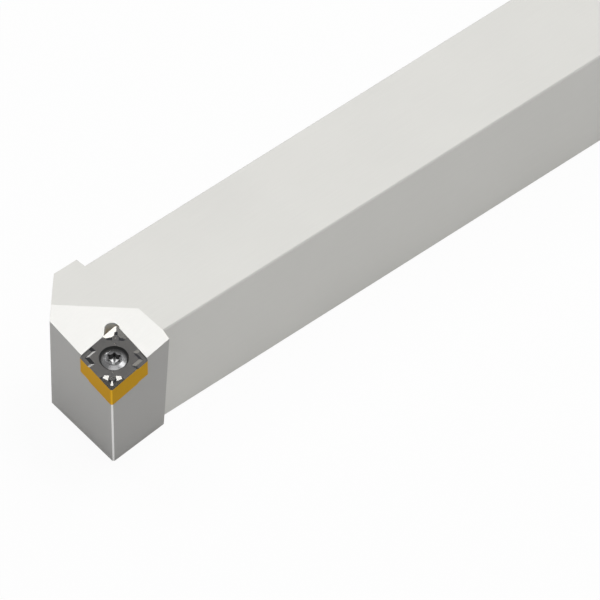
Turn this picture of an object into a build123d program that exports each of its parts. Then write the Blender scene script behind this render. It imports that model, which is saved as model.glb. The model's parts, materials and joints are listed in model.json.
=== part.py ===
"""Screw-clamp turning tool holder: square shank, offset head, 80 degree insert and clamp screw.

Frame: X runs along the shank from the head towards the tail, Y towards the plain side of the
tool and Z up. X = 0 is the rear wall of the head, Y = 0 the middle of the shank and Z = 0 the
underside, so the tool lies as it does in a tool post. Millimetres.
"""
import os
from math import atan, cos, radians, sin, sqrt, tan

from build123d import *

# ---------------------------------------------------------------- shank
shank_width = 20.0
shank_height = 20.0
overall_length = 125.0          # cutting corner to tail
shank_edge_chamfer = 0.2
tail_chamfer = 0.8

# ---------------------------------------------------------------- head
head_height = 22.52             # the flat behind the insert stands above the shank
head_side_length = 5.0          # straight stretch of the plain side, before the 45 degree face
rear_wall_skew = 0.45           # degrees by which the rear wall leaves the square
rear_facet_offset = 21.5        # from the plain side to where the rear wall turns forward
rear_facet_angle = 12.0         # degrees
face_clearance = 5.0            # both front faces lean in below the insert
head_nose_radius = 0.4

# ---------------------------------------------------------------- cutting corner
cutting_height = 20.0           # corner above the underside
functional_width = 24.9         # corner from the plain side
head_length = 14.3              # corner in front of the rear wall
edge_inclination = 6.0          # the seat falls by this much towards both cutting edges
insert_overhang = 0.48          # insert beyond both front faces

# ---------------------------------------------------------------- insert
insert_angle = 80.0
insert_edge_length = 8.85
insert_thickness = 4.1
insert_corner_radius = 0.4
insert_bore = 3.4
insert_mouth = 5.0              # bore at both faces
countersink_angle = 60.0

# chip former at the two cutting corners
rake_angle = 14.0
former_length = 3.3             # along both cutting edges, from the corner
former_end_angle = 40.0         # slope of the walls that close it across the edges
former_start = 3.6              # top of the middle wall, from the middle of the insert
former_wall_angle = 16.0        # slope of the middle wall
tongue_width = 1.1              # a tongue of the face runs out along the middle of the former
tongue_shoulder = 4.25          # from the middle of the insert, where it narrows to a ridge
ridge_start = 4.7
ridge_width = 0.2
ridge_end = 6.2
ridge_angle = 13.0              # the ridge falls towards the corner
tongue_side_taper = 40.0
dimple_places = (2.9, 4.05)     # from the middle of the insert, towards the corner
dimple_radius = 0.3
dimple_depth = 0.06

# sunk lands at the two blunt corners
land_width = 1.2
land_length = 2.75              # along both edges, from the corner
land_depth = 0.24
land_wall_taper = 65.0

# ---------------------------------------------------------------- pocket
pocket_relief_radius = 1.27
pocket_relief_offset = 0.69     # middle of the relief slot, to the plain side
pocket_relief_reach = 5.95      # from the middle of the insert to the middle of the slot end
pocket_relief_depth = 0.35      # below the seat

# ---------------------------------------------------------------- clamp screw
thread_diameter = 3.0
screw_head_diameter = 4.4
screw_head_rim = 0.08
screw_crown_height = 0.34       # flat above the rim
screw_flat_diameter = 2.9
thread_engagement = 5.8         # below the seat
thread_clearance = 0.05         # screw to tapped hole, on the radius
head_clearance = 0.04           # screw cone to insert cone, square to the cone
screw_tip_chamfer = 0.4
tapped_hole_spare = 1.5         # hole beyond the screw's tip
drill_point_angle = 118.0
drive_outer_diameter = 2.45
drive_inner_diameter = 1.76
drive_flute_radius = 0.5
drive_lobe_fillet = 0.1
drive_depth = 1.25

# ---------------------------------------------------------------- derived places
half_shank = shank_width / 2
tail_x = overall_length - head_length
corner = Vector(-head_length, half_shank - functional_width, cutting_height)
half_angle = radians(insert_angle / 2)
half_long = insert_edge_length * cos(half_angle)
half_short = insert_edge_length * sin(half_angle)
to_nose = Vector(-1, -1, 0).normalized()
seat_tilt = atan(sqrt(2) * tan(radians(edge_inclination)))
seat_normal = to_nose * sin(seat_tilt) + Vector(0, 0, 1) * cos(seat_tilt)

# local frame of the insert: x to the shank side, y to the rear corner, z square to the seat
corner_plane = Plane(origin=corner, x_dir=(1, -1, 0), z_dir=seat_normal)
top_plane = Plane(corner_plane.from_local_coords((0, half_long, 0)), (1, -1, 0), seat_normal)
seat_plane = top_plane.offset(-insert_thickness)

cone_slope = tan(radians(countersink_angle / 2))
head_drop = (insert_mouth - screw_head_diameter) / 2 / cone_slope - head_clearance / sin(
    radians(countersink_angle / 2)
)


def front_face(side):
    """A front face of the head, square in plan to the cutting edge above it and leaning in.

    side is -1 for the end face and +1 for the long side face.
    """
    foot = corner - to_nose * (insert_overhang / sin(half_angle))
    outward = to_nose.rotate(Axis.Z, side * (90 - insert_angle / 2))
    lean = radians(face_clearance)
    return Plane(origin=foot, z_dir=outward * cos(lean) - Vector(0, 0, 1) * sin(lean))


def head_outline():
    """Plan of the head block, run well past both front faces."""
    reach = 3 * insert_edge_length
    turn_x = rear_facet_offset * tan(radians(rear_wall_skew))
    turn_y = half_shank - rear_facet_offset
    return [
        (0, half_shank),
        (-head_side_length, half_shank),
        (-head_side_length - reach, half_shank - reach),
        (-head_side_length - reach, turn_y - reach),
        (turn_x - reach * tan(radians(rear_facet_angle)), turn_y - reach),
        (turn_x, turn_y),
    ]


def sloping_wall(foot, downhill, slope):
    """A plane through foot that falls towards downhill, in the frame of a face of the insert."""
    angle = radians(slope)
    return Plane(origin=foot, z_dir=Vector(0, 0, 1) * cos(angle) + downhill * sin(angle))


def cone_depth(wide, narrow):
    """Length of a countersink cone between two diameters."""
    return (wide - narrow) / 2 / cone_slope


# ---------------------------------------------------------------- holder
with BuildPart() as holder:
    # head block, cut back to its two leaning front faces and to the plane of the insert's top
    with BuildSketch():
        with BuildLine():
            Polyline(*head_outline(), close=True)
        make_face()
    extrude(amount=head_height)
    split(bisect_by=front_face(-1), keep=Keep.BOTTOM)
    split(bisect_by=front_face(1), keep=Keep.BOTTOM)
    split(bisect_by=top_plane, keep=Keep.BOTTOM)
    upright_edges = holder.edges().filter_by(lambda e: e.length > cutting_height / 2 and abs(
        (e % 0.5).Z) > 0.9)
    nose_edge = upright_edges.sort_by(lambda e: (e @ 0.5).dot(to_nose))[-1]
    fillet(nose_edge, head_nose_radius)

    # shank, rooted in the head and chamfered along its edges
    with BuildSketch(Plane.YZ.offset(-head_side_length / 2)):
        with Locations((0, shank_height / 2)):
            Rectangle(shank_width, shank_height)
    extrude(amount=tail_x + head_side_length / 2)
    chamfer(holder.faces().sort_by(Axis.X)[-1].edges(), tail_chamfer)
    shank_edges = holder.edges().filter_by(Axis.X).filter_by(
        lambda e: e.length > tail_x / 2
    )
    chamfer(shank_edges, shank_edge_chamfer)

    # pocket: a seat and two walls that run out through the front faces
    with BuildSketch(seat_plane):
        with BuildLine():
            Polyline(
                (0, half_long),
                (-3 * half_short, -2 * half_long),
                (3 * half_short, -2 * half_long),
                close=True,
            )
        make_face()
    extrude(amount=2 * insert_thickness, mode=Mode.SUBTRACT)

    # relief slot in the rear corner of the pocket
    slot_root = half_long * (1 - (pocket_relief_offset + pocket_relief_radius) / half_short)
    slot_length = pocket_relief_reach - slot_root + pocket_relief_radius
    with BuildSketch(seat_plane.offset(-pocket_relief_depth)):
        with Locations((-pocket_relief_offset, pocket_relief_reach)):
            Circle(pocket_relief_radius)
            Rectangle(
                2 * pocket_relief_radius, slot_length, align=(Align.CENTER, Align.MAX)
            )
    extrude(amount=insert_thickness * 2, mode=Mode.SUBTRACT)

    # tapped hole for the clamp screw, square to the seat
    tapped_depth = thread_engagement + tapped_hole_spare
    tapped_radius = thread_diameter / 2 + thread_clearance
    with Locations(seat_plane):
        Hole(tapped_radius, depth=tapped_depth)
    with Locations(seat_plane.offset(-tapped_depth)):
        drill_length = tapped_radius / tan(radians(drill_point_angle / 2))
        Cone(
            0, tapped_radius, drill_length,
            align=(Align.CENTER, Align.CENTER, Align.MAX), mode=Mode.SUBTRACT,
        )

holder.part.label = "tool_holder"

# ---------------------------------------------------------------- insert
with BuildPart() as tongue:
    # what the chip former leaves standing along its middle
    with BuildSketch():
        with BuildLine():
            Polyline(
                (tongue_width / 2, 0),
                (tongue_width / 2, -tongue_shoulder),
                (ridge_width / 2, -ridge_start),
                (ridge_width / 2, -ridge_end),
                (-ridge_width / 2, -ridge_end),
                (-ridge_width / 2, -ridge_start),
                (-tongue_width / 2, -tongue_shoulder),
                (-tongue_width / 2, 0),
                close=True,
            )
        make_face()
    extrude(amount=-insert_thickness / 4, taper=-tongue_side_taper)
    ridge = sloping_wall(Vector(0, -ridge_start, 0), Vector(0, -1, 0), ridge_angle)
    split(bisect_by=ridge, keep=Keep.BOTTOM)

with BuildPart() as nose_former:
    # cutter for the chip former at one cutting corner, in the frame of a face of the insert
    block = 2 * insert_edge_length
    with BuildSketch(Plane.XY.offset(-insert_thickness / 4)):
        with Locations((0, -former_start)):
            Rectangle(block, block, align=(Align.CENTER, Align.MAX))
    extrude(amount=insert_thickness / 2)
    rake = radians(rake_angle)
    for side in (-1, 1):
        outward = Vector(side * cos(half_angle), -sin(half_angle), 0)
        rake_normal = Vector(0, 0, 1) * cos(rake) - outward * sin(rake)
        split(bisect_by=Plane((0, -half_long, 0), z_dir=rake_normal), keep=Keep.TOP)
        # end wall, square to the cutting edge
        edge_point = Vector(side * sin(half_angle), cos(half_angle), 0) * former_length
        edge_point = edge_point - Vector(0, half_long, 0)
        to_corner = Vector(-side * sin(half_angle), -cos(half_angle), 0)
        split(bisect_by=sloping_wall(edge_point, to_corner, former_end_angle), keep=Keep.TOP)
    middle_wall = sloping_wall(Vector(0, -former_start, 0), Vector(0, -1, 0), former_wall_angle)
    split(bisect_by=middle_wall, keep=Keep.TOP)
    add(tongue.part, mode=Mode.SUBTRACT)
    # round dimples in the face and in the tongue
    with Locations([(0, -place, dimple_radius - dimple_depth) for place in dimple_places]):
        Sphere(dimple_radius)

with BuildPart() as land_former:
    # cutter for the sunk land round one blunt corner, in the same frame
    blunt_corner = Vector(half_short, 0, 0)
    across = Vector(-cos(half_angle), -sin(half_angle), 0)
    land_end = blunt_corner + Vector(-sin(half_angle), cos(half_angle), 0) * land_length
    land_root = land_end + across * land_width
    land_outside = land_end - across * land_width
    with BuildSketch():
        with BuildLine():
            Polyline(
                (half_short - land_width / cos(half_angle), 0),
                land_root,
                land_outside,
                (2 * half_short, 0),
                (land_outside.X, -land_outside.Y),
                (land_root.X, -land_root.Y),
                close=True,
            )
        make_face()
    extrude(amount=-land_depth, taper=land_wall_taper)

with BuildPart() as insert:
    with BuildSketch(seat_plane) as rhombus:
        with BuildLine():
            Polyline(
                (0, -half_long), (half_short, 0), (0, half_long), (-half_short, 0), close=True
            )
        make_face()
        fillet(rhombus.vertices(), insert_corner_radius)
    extrude(amount=insert_thickness)
    under_plane = Plane(seat_plane.origin, x_dir=seat_plane.x_dir, z_dir=-seat_normal)
    for face_plane in (top_plane, under_plane):
        with Locations(face_plane):
            CounterSinkHole(insert_bore / 2, insert_mouth / 2, None, countersink_angle)
        for end in (-1, 1):
            end_frame = Plane(face_plane.origin, face_plane.x_dir * end, face_plane.z_dir)
            add(nose_former.part.moved(end_frame.location), mode=Mode.SUBTRACT)
            add(land_former.part.moved(end_frame.location), mode=Mode.SUBTRACT)

insert.part.label = "cutting_insert"

# ---------------------------------------------------------------- clamp screw
rim_height = -head_drop
crown_height = rim_height + screw_head_rim + screw_crown_height
head_radius = screw_head_diameter / 2
thread_radius = thread_diameter / 2
tip_height = -insert_thickness - thread_engagement
screw_section = Plane(top_plane.origin, x_dir=top_plane.x_dir, z_dir=-top_plane.y_dir)

with BuildPart() as screw:
    with BuildSketch(screw_section):
        with BuildLine():
            Polyline(
                (0, crown_height),
                (0, tip_height),
                (thread_radius - screw_tip_chamfer, tip_height),
                (thread_radius, tip_height + screw_tip_chamfer),
                (thread_radius, rim_height - cone_depth(screw_head_diameter, thread_diameter)),
                (head_radius, rim_height),
                (head_radius, rim_height + screw_head_rim),
                (screw_flat_diameter / 2, crown_height),
                close=True,
            )
        make_face()
    revolve(axis=Axis(top_plane.origin, seat_normal))
    # six-lobed drive
    with BuildSketch(top_plane.offset(crown_height)) as drive:
        Circle(drive_outer_diameter / 2)
        flute_ring = drive_inner_diameter / 2 + drive_flute_radius
        with PolarLocations(flute_ring, 6):
            Circle(drive_flute_radius, mode=Mode.SUBTRACT)
        fillet(drive.vertices(), drive_lobe_fillet)
    extrude(amount=-drive_depth, mode=Mode.SUBTRACT)

screw.part.label = "clamp_screw"

# ---------------------------------------------------------------- files
os.makedirs("parts", exist_ok=True)
export_step(holder.part, "parts/tool_holder.step")
export_step(insert.part, "parts/cutting_insert.step")
export_step(screw.part, "parts/clamp_screw.step")
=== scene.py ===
"""Looks of the turning tool holder: finishes with some painted light and shade, the threaded clamp
screw, floor, lamps and camera.
"""
import json
from math import cos, pi, radians, sin, sqrt

import bmesh
import bpy
from mathutils import Matrix, Vector


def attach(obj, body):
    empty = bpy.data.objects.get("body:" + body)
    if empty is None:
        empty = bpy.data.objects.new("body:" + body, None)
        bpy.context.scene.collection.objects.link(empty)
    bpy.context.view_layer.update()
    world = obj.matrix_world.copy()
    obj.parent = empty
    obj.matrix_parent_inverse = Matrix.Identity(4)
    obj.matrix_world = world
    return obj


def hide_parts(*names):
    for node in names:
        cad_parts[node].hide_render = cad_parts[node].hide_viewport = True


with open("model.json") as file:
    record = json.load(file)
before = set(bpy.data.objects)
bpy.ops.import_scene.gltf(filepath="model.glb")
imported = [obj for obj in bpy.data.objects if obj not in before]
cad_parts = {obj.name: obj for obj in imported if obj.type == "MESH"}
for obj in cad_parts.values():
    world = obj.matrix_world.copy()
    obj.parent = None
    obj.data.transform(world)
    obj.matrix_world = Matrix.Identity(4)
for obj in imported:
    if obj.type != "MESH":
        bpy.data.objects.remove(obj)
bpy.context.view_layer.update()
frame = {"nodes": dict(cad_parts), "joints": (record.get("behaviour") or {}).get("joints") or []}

MM = 0.001
nodes = frame["nodes"]
screw_joint = frame["joints"][0]

# The seat of the insert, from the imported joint: origin on the insert's top face, z square to it,
# y towards the rear corner and x towards the shank's working side.
seat_up = Vector(screw_joint["axis"]).normalized()
seat_x = Vector((1, -1, 0)).normalized()
seat_y = seat_up.cross(seat_x)
seat_origin = Vector(screw_joint["pos_m"])
to_nose = Vector((-1, -1, 0)).normalized()
SEAT = Matrix.Translation(seat_origin) @ Matrix((seat_x, seat_y, seat_up)).transposed().to_4x4()


# ---------------------------------------------------------------- camera
IMAGE_SIDE = 600                # pixels
PIXELS_PER_MM = 6.047
VIEW_TURN = radians(41.672)     # from the shank's axis to the view's right, in plan
VIEW_HEIGHT = radians(45.0)
CAMERA_DISTANCE = 4.0           # metres, long enough that parallel edges stay parallel
NEAR_CLIP, FAR_CLIP = 0.1, 12.0
VIEW_CENTRE = (30.199, 14.539)  # millimetres to the right and up, from the frame's origin

view_right = Vector((cos(VIEW_TURN), -sin(VIEW_TURN), 0))
view_flat = Vector((sin(VIEW_TURN), cos(VIEW_TURN), 0))
view_ahead = view_flat * cos(VIEW_HEIGHT) - Vector((0, 0, sin(VIEW_HEIGHT)))
view_up = view_right.cross(view_ahead)


def make_camera():
    """A long lens from above the cutting corner, with the shank running away to the right."""
    data = bpy.data.cameras.new("camera")
    frame_width = IMAGE_SIDE / PIXELS_PER_MM * MM
    data.lens = data.sensor_width * CAMERA_DISTANCE / frame_width
    data.clip_start, data.clip_end = NEAR_CLIP, FAR_CLIP
    camera = bpy.data.objects.new("camera", data)
    bpy.context.scene.collection.objects.link(camera)
    target = (view_right * VIEW_CENTRE[0] + view_up * VIEW_CENTRE[1]) * MM
    camera.location = target - view_ahead * CAMERA_DISTANCE
    camera.rotation_euler = view_ahead.to_track_quat("-Z", "Y").to_euler()
    bpy.context.scene.camera = camera


# ---------------------------------------------------------------- shader expressions
class Link:
    """One output of a node, with the arithmetic that adds Math nodes."""

    def __init__(self, shader, socket):
        self.shader, self.socket = shader, socket

    def twin(self, name):
        """Another output of the same node."""
        return Link(self.shader, self.socket.node.outputs[name])

    def math(self, operation, *values):
        return self.shader.node("ShaderNodeMath", *values, operation=operation)

    def __add__(self, other):
        return self.math("ADD", self, other)

    def __sub__(self, other):
        return self.math("SUBTRACT", self, other)

    def __rsub__(self, other):
        return self.math("SUBTRACT", other, self)

    def __mul__(self, other):
        return self.math("MULTIPLY", self, other)

    def __lt__(self, other):
        return self.math("LESS_THAN", self, other)

    def __gt__(self, other):
        return self.math("GREATER_THAN", self, other)

    def __abs__(self):
        return self.math("ABSOLUTE", self)

    __radd__ = __add__
    __rmul__ = __mul__


class Shader:
    """The nodes of a material or of the world, and the one method that adds them."""

    def __init__(self, owner, output="ShaderNodeOutputMaterial"):
        self.owner = owner
        owner.use_nodes = True
        self.tree = owner.node_tree
        self.tree.nodes.clear()
        self.out = self.tree.nodes.new(output)

    def node(self, kind, *values, output=0, **settings):
        """Adds a node: settings first, then its input sockets by place or by name."""
        made = self.tree.nodes.new(kind)
        inputs = {k: settings.pop(k) for k in list(settings) if k[0].isupper()}
        for name, value in settings.items():
            setattr(made, name, value)
        inputs = {k.replace("_", " "): v for k, v in inputs.items()}
        for key, value in [*enumerate(values), *inputs.items()]:
            socket = made.inputs[key]
            if isinstance(value, Link):
                self.tree.links.new(value.socket, socket)
            else:
                socket.default_value = value
        return Link(self, made.outputs[output])

    def finish(self, surface):
        self.tree.links.new(surface.socket, self.out.inputs["Surface"])
        return self.owner


def new_material(name):
    return Shader(bpy.data.materials.new(name))


# ---------------------------------------------------------------- finishes, with painted light and shade
# holder
STEEL_LOW, STEEL_HIGH = (0.655, 0.65, 0.622, 1), (0.675, 0.67, 0.642, 1)
STREAK_DARK, STREAK_LIGHT = (0.94, 0.94, 0.945, 1), (1.06, 1.06, 1.06, 1)
# painted shade: the head's front faces, darker than the shank's side
FRONT_PAINTED_SHADE = (0.43, 0.425, 0.412, 1)
# painted shade: the head's end face, darker than the shank's side
END_PAINTED_SHADE = (0.52, 0.515, 0.50, 1)
# painted light: the plane round the seat, lighter than the shank's top
SEAT_PAINTED_LIGHT = (0.74, 0.735, 0.713, 1)
# painted highlight: the narrow rounded face at the head's nose
NOSE_PAINTED_HIGHLIGHT = (0.95, 0.945, 0.93, 1)
# painted light: the slot's wall behind the insert, light and bluish where it lies in shade
POCKET_PAINTED_LIGHT = (0.84, 0.94, 1.0, 1)
LAY = (150, 6000, 6000)         # streaks to the metre along each axis
CLOUDS = 45.0
SAME_WAY = 0.9                  # cosine above which a face counts as facing a direction
SEAT_LEVEL = 0.998              # the same for the milled plane round the seat
LEAN_LEAST, LEAN_MOST = -0.03, -0.3     # how far the front faces look down
UPRIGHT = 0.03                  # cosine below which a face is square to the seat
SLOT_MIDDLE, SLOT_REACH, SLOT_START = -0.69, 1.4, 2.0       # millimetres in the seat's frame
METAL_SHARE = 0.5               # satin, so only half of it mirrors

# insert
DARK_LOW, DARK_HIGH = (0.058, 0.060, 0.069, 1), (0.086, 0.088, 0.098, 1)
# painted shade: the insert's sloped and bored faces, near black
SLOPE_PAINTED_SHADE = (0.012, 0.015, 0.022, 1)
GOLD_LOW, GOLD_HIGH = (0.54, 0.285, 0.011, 1), (0.60, 0.325, 0.015, 1)
# painted shade: multiplies the gold on the flank that faces -Y
SIDE_FLANK_PAINTED_SHADE = (0.82, 0.845, 1.0, 1)      # makes the working side's flank a shade darker
# painted highlight: the flank at the cutting corner, lighter gold
CORNER_PAINTED_HIGHLIGHT = (0.74, 0.42, 0.03, 1)
GOLD_TINT = (1.0, 0.88, 0.60, 1)
GRAIN = 14.0                    # specks to the millimetre
HALF_WIDTH = 5.689              # middle of the insert to its blunt corner, millimetres
HALF_ANGLE = radians(40.0)      # of the cutting corner
FLANK_BAND = 0.3                # the flanks lie closer than this to the edge
BORE_REACH_SQUARED = 6.8        # round the axis, beyond the countersink
FACE_LEVEL, BORE_LEVEL, FLANK_LEVEL = 0.99, 0.9, 0.6    # cosines that part the insert's faces

# screw
SCREW_LOW, SCREW_HIGH = (0.42, 0.42, 0.425, 1), (0.48, 0.48, 0.485, 1)
# painted shade: the crown's flat and the drive's walls, near black
CROWN_AND_DRIVE_PAINTED_SHADE = (0.10, 0.10, 0.102, 1)
# painted highlight: the drive's floor, near white
DRIVE_FLOOR_PAINTED_HIGHLIGHT = (0.80, 0.80, 0.80, 1)
TURNING_RINGS = 9.0
DRIVE_REACH_SQUARED = 1.65      # round the axis, just outside the lobes
CROWN_LEVEL, FLOOR_LEVEL, WALL_LEVEL = 0.93, 0.97, 0.7  # cosines that part the screw's faces


def seat_place(s):
    """Object coordinates turned into the seat's frame, in millimetres."""
    place = s.node("ShaderNodeTexCoord", output="Object")
    return s.node(
        "ShaderNodeMapping", place, vector_type="TEXTURE",
        Location=seat_origin, Rotation=SEAT.to_euler(), Scale=(MM, MM, MM),
    )


def facing(s, direction):
    """Cosine between the face and a direction."""
    normal = s.node("ShaderNodeNewGeometry", output="True Normal")
    return s.node(
        "ShaderNodeVectorMath", normal, direction, operation="DOT_PRODUCT", output="Value",
    )


def blend(s, share, first, second):
    """The first colour where the share is 0 and the second where it is 1."""
    return s.node("ShaderNodeMixRGB", share, first, second)


def holder_steel():
    """Nickelled steel: a ground shank with its lay along X, and milled planes on the head; painted
    shade on the head's front and end faces, painted light on the plane round the seat and in the
    slot's wall, and a painted highlight on the nose.
    """
    s = new_material("holder_steel")
    place = s.node("ShaderNodeTexCoord", output="Object")
    lay_place = s.node("ShaderNodeMapping", place, Scale=LAY)
    lay = s.node("ShaderNodeTexNoise", lay_place, Scale=1.0, Detail=3.0, output="Fac")
    cloud = s.node("ShaderNodeTexNoise", place, Scale=CLOUDS, Detail=3.0, output="Fac")

    upward = facing(s, (0, 0, 1))
    front = (upward < LEAN_LEAST) * (upward > LEAN_MOST)
    end = front * (facing(s, (-1, 0, 0)) > SAME_WAY)
    nose = front * (facing(s, to_nose) > SAME_WAY)
    off_seat = facing(s, seat_up)
    seat_x_y = s.node("ShaderNodeSeparateXYZ", seat_place(s))
    in_slot = (abs(seat_x_y - SLOT_MIDDLE) < SLOT_REACH) * (seat_x_y.twin("Y") > SLOT_START)
    pocket = (abs(off_seat) < UPRIGHT) * in_slot

    colour = blend(s, cloud, STEEL_LOW, STEEL_HIGH)
    # painted shade on the head's front faces
    colour = blend(s, front, colour, FRONT_PAINTED_SHADE)
    # painted shade on the head's end face
    colour = blend(s, end, colour, END_PAINTED_SHADE)
    # painted highlight on the nose
    colour = blend(s, nose, colour, NOSE_PAINTED_HIGHLIGHT)
    # painted light on the plane round the seat
    colour = blend(s, off_seat > SEAT_LEVEL, colour, SEAT_PAINTED_LIGHT)
    # painted light in the slot's wall, which lies in shade
    colour = blend(s, pocket, colour, POCKET_PAINTED_LIGHT)
    streaks = blend(s, lay * 0.6 + cloud * 0.4, STREAK_DARK, STREAK_LIGHT)
    colour = s.node("ShaderNodeMixRGB", 1.0, colour, streaks, blend_type="MULTIPLY")
    bump = s.node("ShaderNodeBump", Strength=0.15, Distance=0.00001, Height=lay)
    # the slot's wall is made non-metal too, so its painted light shows
    return s.finish(s.node(
        "ShaderNodeBsdfPrincipled", Base_Color=colour, Metallic=METAL_SHARE - pocket * METAL_SHARE,
        Roughness=0.55 + lay * 0.06, Normal=bump,
    ))


def coated_carbide():
    """Dark grey coating on the faces and a golden one on the ground flanks, with painted shade on
    the sloped faces and on the working side's flank, and a painted highlight on the flank at the
    cutting corner.
    """
    s = new_material("coated_carbide")
    place = seat_place(s)
    x = s.node("ShaderNodeSeparateXYZ", place)
    y = x.twin("Y")
    level = abs(facing(s, seat_up))
    to_edge = (HALF_WIDTH - abs(x)) * cos(HALF_ANGLE) - abs(y) * sin(HALF_ANGLE)
    flank = (to_edge < FLANK_BAND) * (level < FLANK_LEVEL)
    bore = (x * x + y * y < BORE_REACH_SQUARED) * (level < BORE_LEVEL)

    grain = s.node("ShaderNodeTexNoise", place, Scale=GRAIN, Detail=4.0, output="Fac")
    # painted shade on every face of the insert that is not level
    face = blend(s, level > FACE_LEVEL, SLOPE_PAINTED_SHADE, blend(s, grain, DARK_LOW, DARK_HIGH))
    gold = blend(s, grain, GOLD_LOW, GOLD_HIGH)
    # painted highlight on the flank at the cutting corner
    gold = blend(s, facing(s, to_nose) > SAME_WAY, gold, CORNER_PAINTED_HIGHLIGHT)
    # painted shade on the working side's flank
    side = facing(s, (0, -1, 0)) > SAME_WAY
    gold = s.node("ShaderNodeMixRGB", side, gold, SIDE_FLANK_PAINTED_SHADE, blend_type="MULTIPLY")
    bump = s.node("ShaderNodeBump", Strength=0.1, Distance=0.00001, Height=grain)
    return s.finish(s.node(
        "ShaderNodeBsdfPrincipled", Base_Color=blend(s, flank, face, gold), Metallic=flank,
        Roughness=0.25 + flank * 0.15 + bore * 0.4, Normal=bump, Specular_Tint=GOLD_TINT,
        Coat_Weight=(1 - flank) * (1 - bore), Coat_Roughness=0.1, Coat_IOR=1.65,
    ))


def screw_steel():
    """Hardened steel, polished on the cone, with faint turning marks round the axis; the crown's
    flat and the drive's walls carry painted shade, and the drive's floor a painted highlight.
    """
    s = new_material("screw_steel")
    place = seat_place(s)
    x = s.node("ShaderNodeSeparateXYZ", place)
    y = x.twin("Y")
    level = facing(s, seat_up)
    in_drive = x * x + y * y < DRIVE_REACH_SQUARED
    wall = in_drive * (level < WALL_LEVEL)
    floor = in_drive * (level > WALL_LEVEL) * (level < FLOOR_LEVEL)

    rings = s.node(
        "ShaderNodeTexWave", place, wave_type="RINGS", rings_direction="Z",
        Scale=TURNING_RINGS, Distortion=0.4, output="Fac",
    )
    cloud = s.node("ShaderNodeTexNoise", place, Scale=3.0, Detail=3.0, output="Fac")
    colour = blend(s, cloud, SCREW_LOW, SCREW_HIGH)
    # painted shade on the crown's flat and the drive's walls
    colour = blend(s, level > CROWN_LEVEL, colour, CROWN_AND_DRIVE_PAINTED_SHADE)
    colour = blend(s, wall, colour, CROWN_AND_DRIVE_PAINTED_SHADE)
    # painted highlight on the drive's floor
    colour = blend(s, floor, colour, DRIVE_FLOOR_PAINTED_HIGHLIGHT)
    bump = s.node("ShaderNodeBump", Strength=0.08, Distance=0.000003, Height=rings)
    return s.finish(s.node(
        "ShaderNodeBsdfPrincipled", Base_Color=colour, Metallic=0.95,
        Roughness=0.26 + in_drive * 0.14, Normal=bump,
    ))


def dress(node, material):
    for slot in nodes[node].material_slots:
        slot.material = material


# ---------------------------------------------------------------- clamp screw
# millimetres in the seat's frame, as in the solids: z = 0 is the insert's top face
CROWN_FLAT, CROWN_TOP = 1.45, -0.02
RIM_RADIUS, RIM_TOP, RIM_FOOT = 2.2, -0.36, -0.44
SHANK_RADIUS, CONE_FOOT = 1.5, -1.652
SCREW_TIP, TIP_CHAMFER = -9.9, 0.4
THREAD_PITCH, THREAD_DEPTH, THREAD_TOP = 0.5, 0.3, -4.0
DRIVE_OUTER, DRIVE_INNER, DRIVE_FLUTE, DRIVE_DEPTH = 1.225, 0.88, 0.5, 1.25
ROUND_STEPS, THREAD_STEPS, OUTLINE_STEPS = 96, 36, 180      # to a turn
CROWN_ROLL, CROWN_FALL, ROLL_STEPS = 0.3, 0.12, 6   # the crown's flat rolls over into its cone
THREAD_RUNOUT, THREAD_CREST, THREAD_SINK = 0.3, 0.04, 0.05
THREAD_SHARE = 0.42             # half the ridge's foot, as a share of the pitch
LID_RISE, FLOOR_CONE = 0.2, 0.3
SLIVER = 0.0005
SHARP_ANGLE = radians(32)
PLACED = SEAT @ Matrix.Scale(MM, 4)


def placed_mesh(name, bm):
    """A mesh moved from the seat's frame to its place in the tool."""
    mesh = bpy.data.meshes.new(name)
    bm.transform(PLACED)
    bmesh.ops.recalc_face_normals(bm, faces=bm.faces)
    bm.to_mesh(mesh)
    bm.free()
    return mesh


def mesh_piece(name, bm):
    piece = bpy.data.objects.new(name, placed_mesh(name, bm))
    bpy.context.scene.collection.objects.link(piece)
    return piece


def turned(bm, profile):
    """A solid of revolution about z from (radius, height) points that start and end on the axis."""
    verts = [bm.verts.new((r, 0, z)) for r, z in profile]
    edges = [bm.edges.new(pair) for pair in zip(verts, verts[1:])]
    bmesh.ops.spin(
        bm, geom=verts + edges, cent=(0, 0, 0), axis=(0, 0, 1), dvec=(0, 0, 0),
        angle=2 * pi, steps=ROUND_STEPS, use_merge=True,
    )
    bmesh.ops.remove_doubles(bm, verts=bm.verts, dist=0.0005)


def screw_profile():
    """Half section of the screw without its thread ridge."""
    core = SHANK_RADIUS - THREAD_DEPTH
    flat_end = CROWN_FLAT - CROWN_FALL
    crown = [(0, CROWN_TOP), (flat_end, CROWN_TOP)]
    for step in range(1, ROLL_STEPS):
        share = step / ROLL_STEPS
        crown.append((flat_end + share * CROWN_ROLL, CROWN_TOP - CROWN_FALL * share * share))
    crown.append((RIM_RADIUS - 0.05, RIM_TOP + 0.03))
    return crown + [
        (RIM_RADIUS, RIM_TOP - 0.01),
        (RIM_RADIUS, RIM_FOOT),
        (SHANK_RADIUS, CONE_FOOT),
        (SHANK_RADIUS, THREAD_TOP + THREAD_RUNOUT),
        (core, THREAD_TOP),
        (core, SCREW_TIP + TIP_CHAMFER),
        (core - TIP_CHAMFER, SCREW_TIP),
        (0, SCREW_TIP),
    ]


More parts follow.
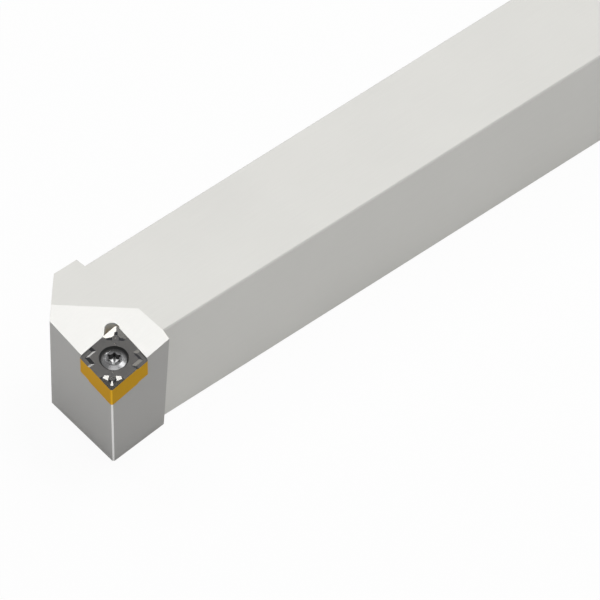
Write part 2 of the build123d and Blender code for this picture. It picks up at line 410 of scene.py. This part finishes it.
def thread_ridge(bm):
    """The thread's 60 degree ridge, wound round the core and sunk a little into it."""
    core = SHANK_RADIUS - THREAD_DEPTH
    low = SCREW_TIP + TIP_CHAMFER
    half = THREAD_PITCH * THREAD_SHARE
    foot = core - THREAD_SINK
    section = [
        (foot, -half), (SHANK_RADIUS, -THREAD_CREST), (SHANK_RADIUS, THREAD_CREST), (foot, half),
    ]
    verts = [bm.verts.new((r, 0, low + half + z)) for r, z in section]
    face = bm.faces.new(verts)
    turns = (THREAD_TOP - low - 2 * half) / THREAD_PITCH
    steps = int(turns * THREAD_STEPS)
    bmesh.ops.spin(
        bm, geom=[face, *face.edges, *face.verts], cent=(0, 0, 0), axis=(0, 0, 1),
        dvec=(0, 0, turns * THREAD_PITCH / steps), angle=turns * 2 * pi, steps=steps,
        use_merge=False,
    )


def drive_outline():
    """Six lobes with flutes between them, as points round the axis."""
    points = []
    ring = DRIVE_INNER + DRIVE_FLUTE
    for step in range(OUTLINE_STEPS):
        angle = 2 * pi * step / OUTLINE_STEPS
        within = (angle + pi / 6) % (pi / 3) - pi / 6    # from the middle of a flute
        across = ring * sin(within)
        radius = DRIVE_OUTER
        if abs(across) < DRIVE_FLUTE:
            radius = min(radius, ring * cos(within) - sqrt(DRIVE_FLUTE ** 2 - across ** 2))
        points.append((radius * cos(angle), radius * sin(angle)))
    return points


def cut_drive(screw):
    """Cuts the six-lobed recess, with a shallow cone for its floor."""
    bm = bmesh.new()
    floor_height = CROWN_TOP - DRIVE_DEPTH
    lid = bm.faces.new([bm.verts.new((x, y, CROWN_TOP + LID_RISE)) for x, y in drive_outline()])
    grown = bmesh.ops.extrude_face_region(bm, geom=[lid])["geom"]
    for vert in grown:
        if isinstance(vert, bmesh.types.BMVert):
            vert.co.z = floor_height
    bottom = [face for face in grown if isinstance(face, bmesh.types.BMFace)]
    for tip in bmesh.ops.poke(bm, faces=bottom, offset=0)["verts"]:
        tip.co.z = floor_height - FLOOR_CONE
    cutter = mesh_piece("drive_cutter", bm)
    cut = screw.modifiers.new("drive", "BOOLEAN")
    cut.object, cut.operation, cut.solver = cutter, "DIFFERENCE", "EXACT"
    graph = bpy.context.evaluated_depsgraph_get()
    mesh = bpy.data.meshes.new_from_object(screw.evaluated_get(graph))
    screw.modifiers.clear()
    screw.data = mesh
    bpy.data.objects.remove(cutter)


def make_screw(steel):
    """The screw with its thread and sharp drive, in place of the plain one."""
    name = "clamp_screw_threaded"
    bm = bmesh.new()
    turned(bm, screw_profile())
    screw = mesh_piece(name, bm)
    cut_drive(screw)

    bm = bmesh.new()
    bm.from_mesh(screw.data)
    bm.transform(PLACED.inverted())
    bmesh.ops.dissolve_degenerate(bm, dist=SLIVER, edges=bm.edges)
    thread_ridge(bm)
    screw.data = placed_mesh(name, bm)
    for polygon in screw.data.polygons:
        polygon.use_smooth = True
    screw.data.set_sharp_from_angle(angle=SHARP_ANGLE)
    screw.data.materials.append(steel)
    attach(screw, "screw")
    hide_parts("clamp_screw")


# ---------------------------------------------------------------- stage
FLOOR_SHADE = 0.8
FLOOR_WHITE_SEEN = 0.94         # share of plain white that the camera sees
FLOOR_WHITE_MIRRORED = 0.35     # and that gloss and glass see
FLOOR_REACH, FLOOR_GAP = 3.0, 0.00005       # metres: half its side, and how far under the tool
WORLD_FILL = 0.11
WORLD_WHITE_MIRRORED = 0.15
WHITE = (1, 1, 1, 1)
# name, azimuth from +X, elevation, distance and side in metres, radiance
LAMPS = (
    ("camera_side", 228, 42, 1.4, 1.3, 0.88),
    ("rear_left", 84, 56, 1.2, 0.5, 4.3),
    ("rear_right", 10, 58, 1.2, 0.5, 4.4),
    ("overhead", 190, 87, 1.2, 0.2, 13.0),
    ("right_top", -12, 70, 1.2, 0.2, 13.0),
    ("right_side", -46, 56, 1.2, 0.56, 2.3),
    ("rear_low", 70, 19, 1.3, 0.2, 4.0),
)


def shown_white(s, to_camera, to_gloss):
    """How much plain white the camera sees, and how much gloss and glass see."""
    seen = s.node("ShaderNodeLightPath", output="Is Camera Ray")
    mirrored = seen.math("MAXIMUM", seen.twin("Is Glossy Ray"), seen.twin("Is Transmission Ray"))
    return seen * to_camera + mirrored * to_gloss


def make_floor():
    """A pale sheet under the tool that shows white and keeps the tool's shadow."""
    s = new_material("pale_floor")
    share = shown_white(s, FLOOR_WHITE_SEEN, FLOOR_WHITE_MIRRORED)
    lit = s.node("ShaderNodeBsdfDiffuse", Color=(FLOOR_SHADE, FLOOR_SHADE, FLOOR_SHADE, 1))
    white = s.node("ShaderNodeEmission", Color=WHITE, Strength=1.0)
    material = s.finish(s.node("ShaderNodeMixShader", share, lit, white))
    bm = bmesh.new()
    bmesh.ops.create_grid(bm, x_segments=1, y_segments=1, size=FLOOR_REACH)
    bmesh.ops.translate(bm, vec=(0, 0, -FLOOR_GAP), verts=bm.verts)
    mesh = bpy.data.meshes.new("floor")
    bm.to_mesh(mesh)
    bm.free()
    floor = bpy.data.objects.new("floor", mesh)
    bpy.context.scene.collection.objects.link(floor)
    mesh.materials.append(material)


def make_world():
    """An even fill, and white where the camera, gloss or glass look past the floor."""
    world = bpy.data.worlds.new("studio")
    bpy.context.scene.world = world
    s = Shader(world, "ShaderNodeOutputWorld")
    fill = s.node("ShaderNodeBackground", Color=WHITE, Strength=WORLD_FILL)
    white = s.node("ShaderNodeBackground", Color=WHITE, Strength=1.0)
    share = shown_white(s, 1.0, WORLD_WHITE_MIRRORED)
    s.finish(s.node("ShaderNodeMixShader", share, fill, white))


def softbox(name, azimuth, elevation, distance, size, radiance):
    """A square lamp aimed at the head: azimuth from +X, counter-clockwise in plan."""
    data = bpy.data.lights.new(name, "AREA")
    data.shape, data.size = "SQUARE", size
    data.energy = radiance * pi * size * size
    lamp = bpy.data.objects.new(name, data)
    bpy.context.scene.collection.objects.link(lamp)
    a, e = radians(azimuth), radians(elevation)
    away = Vector((cos(a) * cos(e), sin(a) * cos(e), sin(e)))
    lamp.location = away * distance
    lamp.rotation_euler = (-away).to_track_quat("-Z", "Y").to_euler()
    lamp.visible_camera = False


bpy.context.scene.view_settings.view_transform = "Standard"
make_camera()
dress("tool_holder", holder_steel())
dress("cutting_insert", coated_carbide())
steel = screw_steel()
dress("clamp_screw", steel)
make_screw(steel)
make_floor()
make_world()
for lamp in LAMPS:
    softbox(*lamp)
